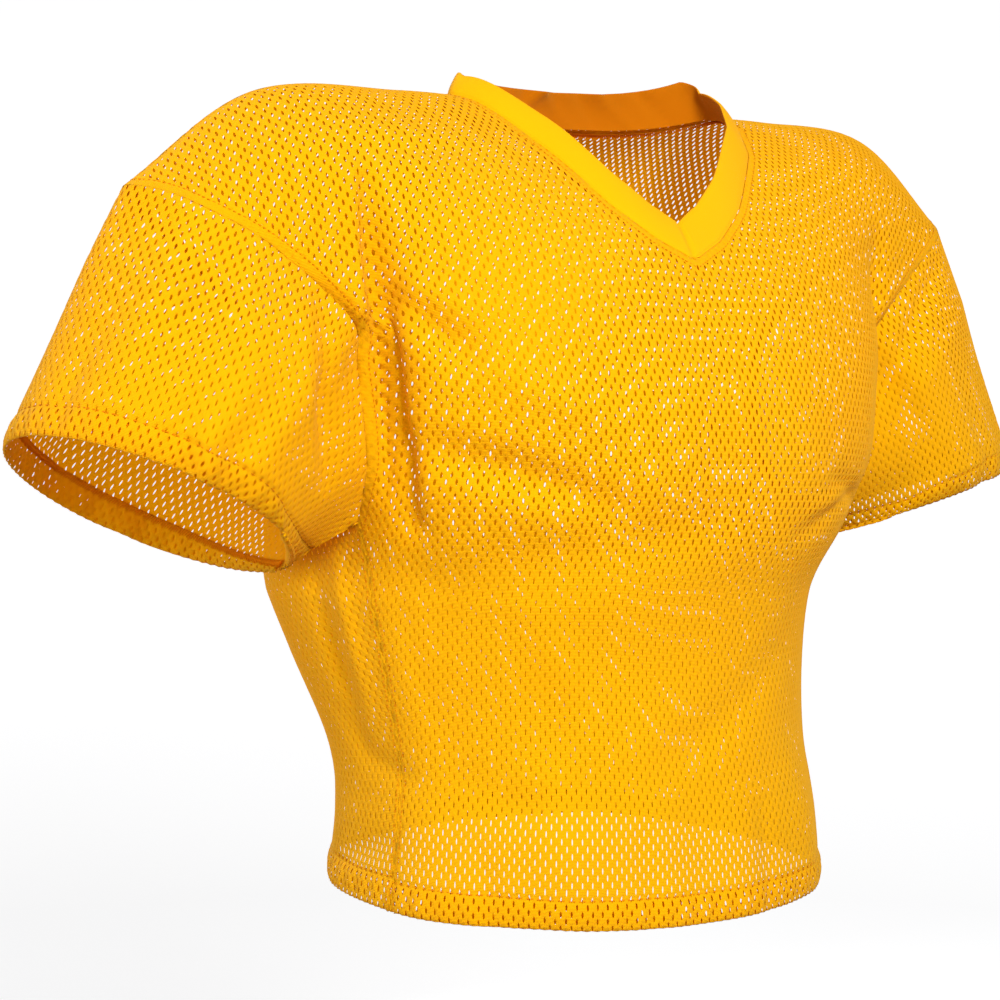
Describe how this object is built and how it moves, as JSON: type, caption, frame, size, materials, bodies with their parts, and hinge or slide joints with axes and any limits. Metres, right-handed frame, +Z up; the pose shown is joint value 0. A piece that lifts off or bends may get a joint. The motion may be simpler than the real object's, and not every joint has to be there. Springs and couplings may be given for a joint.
{
  "type": "football practice jersey",
  "caption": "Waist-length porthole-mesh jersey with a V-neck rib band and short set-in sleeves, hollow and open, in its worn shape over broad shoulders.",
  "frame": {"origin": "midway between the shoulders, just under the top of the shoulder line, where the wearer's shoulders hold it", "axes": "+X to the wearer's left, -Y to the front, +Z up"},
  "size_m": [0.8272, 0.3678, 0.5735],
  "materials": {
    "mesh_cloth": "matt warp-knit porthole mesh",
    "rib_cloth": "smooth matt rib knit"
  },
  "bodies": {
    "root": {"front": "mesh_cloth", "back": "mesh_cloth", "sleeve_left": "mesh_cloth", "sleeve_right": "mesh_cloth", "collar": "rib_cloth"}
  },
  "joints": []
}
